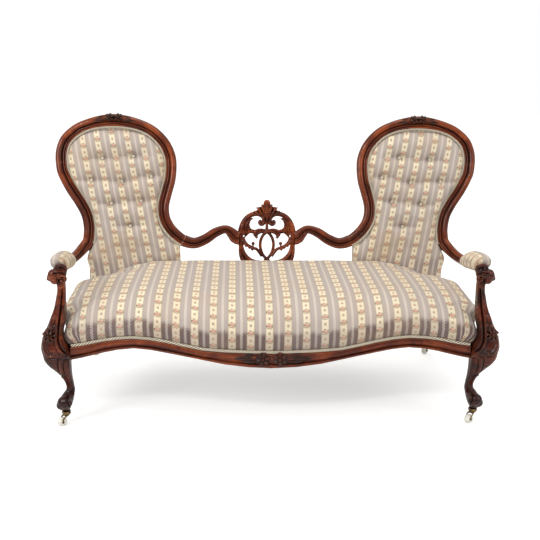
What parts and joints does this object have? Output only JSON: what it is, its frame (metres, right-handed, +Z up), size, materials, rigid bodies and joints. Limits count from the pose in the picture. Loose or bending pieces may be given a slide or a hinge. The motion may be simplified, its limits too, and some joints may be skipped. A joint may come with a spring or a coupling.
{
  "type": "upholstered settee",
  "caption": "Two-seat show-wood settee with twin spoon backs, a pierced scrolled centre splat, open padded arms, cabriole front legs and castors.",
  "frame": {"origin": "on the floor, under the middle of the settee's overall box", "axes": "+Z up, -Y towards the sitter's side (the front), +X to the right as seen from the front"},
  "size_m": [1.8116, 0.8311, 1.0974],
  "materials": {
    "rosewood": "polished",
    "beech": "plain",
    "striped_cover": "woven",
    "hessian": "woven",
    "cord_gimp": "twisted",
    "spring_steel": "plain",
    "aged_brass": "aged",
    "white_ceramic": "glazed"
  },
  "bodies": {
    "frame": {"front_rail": "rosewood", "centre_splat": "rosewood", "side_rail_left": "rosewood", "side_rail_right": "rosewood", "front_leg_left": "rosewood", "front_leg_right": "rosewood", "arm_support_left": "rosewood", "arm_support_right": "rosewood", "rear_leg_left": "rosewood", "rear_leg_right": "rosewood", "link_rail_left": "rosewood", "link_rail_right": "rosewood", "inner_stile_left": "rosewood", "inner_stile_right": "rosewood", "back_crest_left": "rosewood", "back_crest_right": "rosewood", "outer_stile_and_arm_left": "rosewood", "outer_stile_and_arm_right": "rosewood", "rear_rail": "beech", "centre_brace": "beech", "inner_upright_left": "beech", "inner_upright_right": "beech", "seat_cushion": "striped_cover", "back_cushion_left": "striped_cover", "back_cushion_right": "striped_cover", "outside_back_left": "striped_cover", "outside_back_right": "striped_cover", "arm_pad_left": "striped_cover", "arm_pad_right": "striped_cover", "back_lining_left": "hessian", "back_lining_right": "hessian", "seat_webbing": "hessian", "dust_cloth": "hessian", "front_gimp": "cord_gimp", "seat_spring_1_1": "spring_steel", "seat_spring_1_2": "spring_steel", "seat_spring_1_3": "spring_steel", "seat_spring_1_4": "spring_steel", "seat_spring_2_1": "spring_steel", "seat_spring_2_2": "spring_steel", "seat_spring_2_3": "spring_steel", "seat_spring_2_4": "spring_steel", "castor_front_left_cup": "aged_brass", "castor_front_right_cup": "aged_brass", "castor_rear_left_cup": "aged_brass", "castor_rear_right_cup": "aged_brass"},
    "front_left_swivel": {"castor_front_left_fork": "aged_brass", "castor_front_left_axle": "aged_brass"},
    "front_left_wheel": {"castor_front_left_wheel": "white_ceramic"},
    "front_right_swivel": {"castor_front_right_fork": "aged_brass", "castor_front_right_axle": "aged_brass"},
    "front_right_wheel": {"castor_front_right_wheel": "white_ceramic"},
    "rear_left_swivel": {"castor_rear_left_fork": "aged_brass", "castor_rear_left_axle": "aged_brass"},
    "rear_left_wheel": {"castor_rear_left_wheel": "white_ceramic"},
    "rear_right_swivel": {"castor_rear_right_fork": "aged_brass", "castor_rear_right_axle": "aged_brass"},
    "rear_right_wheel": {"castor_rear_right_wheel": "white_ceramic"}
  },
  "joints": [
    {"name": "front_left_swivel_turn", "type": "hinge", "parent": "frame", "child": "front_left_swivel", "pos_m": [-0.7723, -0.3526, 0.05], "axis": [0, 0, 1], "continuous": true},
    {"name": "front_left_wheel_roll", "type": "hinge", "parent": "front_left_swivel", "child": "front_left_wheel", "pos_m": [-0.78782, -0.36268, 0.0175], "axis": [0.5446, -0.8387, 0], "continuous": true},
    {"name": "front_right_swivel_turn", "type": "hinge", "parent": "frame", "child": "front_right_swivel", "pos_m": [0.7723, -0.3526, 0.05], "axis": [0, 0, 1], "continuous": true},
    {"name": "front_right_wheel_roll", "type": "hinge", "parent": "front_right_swivel", "child": "front_right_wheel", "pos_m": [0.75679, -0.36268, 0.0175], "axis": [0.5446, -0.8387, 0], "continuous": true},
    {"name": "rear_left_swivel_turn", "type": "hinge", "parent": "frame", "child": "rear_left_swivel", "pos_m": [-0.76687, 0.37064, 0.05], "axis": [0, 0, 1], "continuous": true},
    {"name": "rear_left_wheel_roll", "type": "hinge", "parent": "rear_left_swivel", "child": "rear_left_wheel", "pos_m": [-0.78239, 0.36056, 0.0175], "axis": [0.5446, -0.8387, 0], "continuous": true},
    {"name": "rear_right_swivel_turn", "type": "hinge", "parent": "frame", "child": "rear_right_swivel", "pos_m": [0.76687, 0.37064, 0.05], "axis": [0, 0, 1], "continuous": true},
    {"name": "rear_right_wheel_roll", "type": "hinge", "parent": "rear_right_swivel", "child": "rear_right_wheel", "pos_m": [0.75136, 0.36056, 0.0175], "axis": [0.5446, -0.8387, 0], "continuous": true}
  ]
}
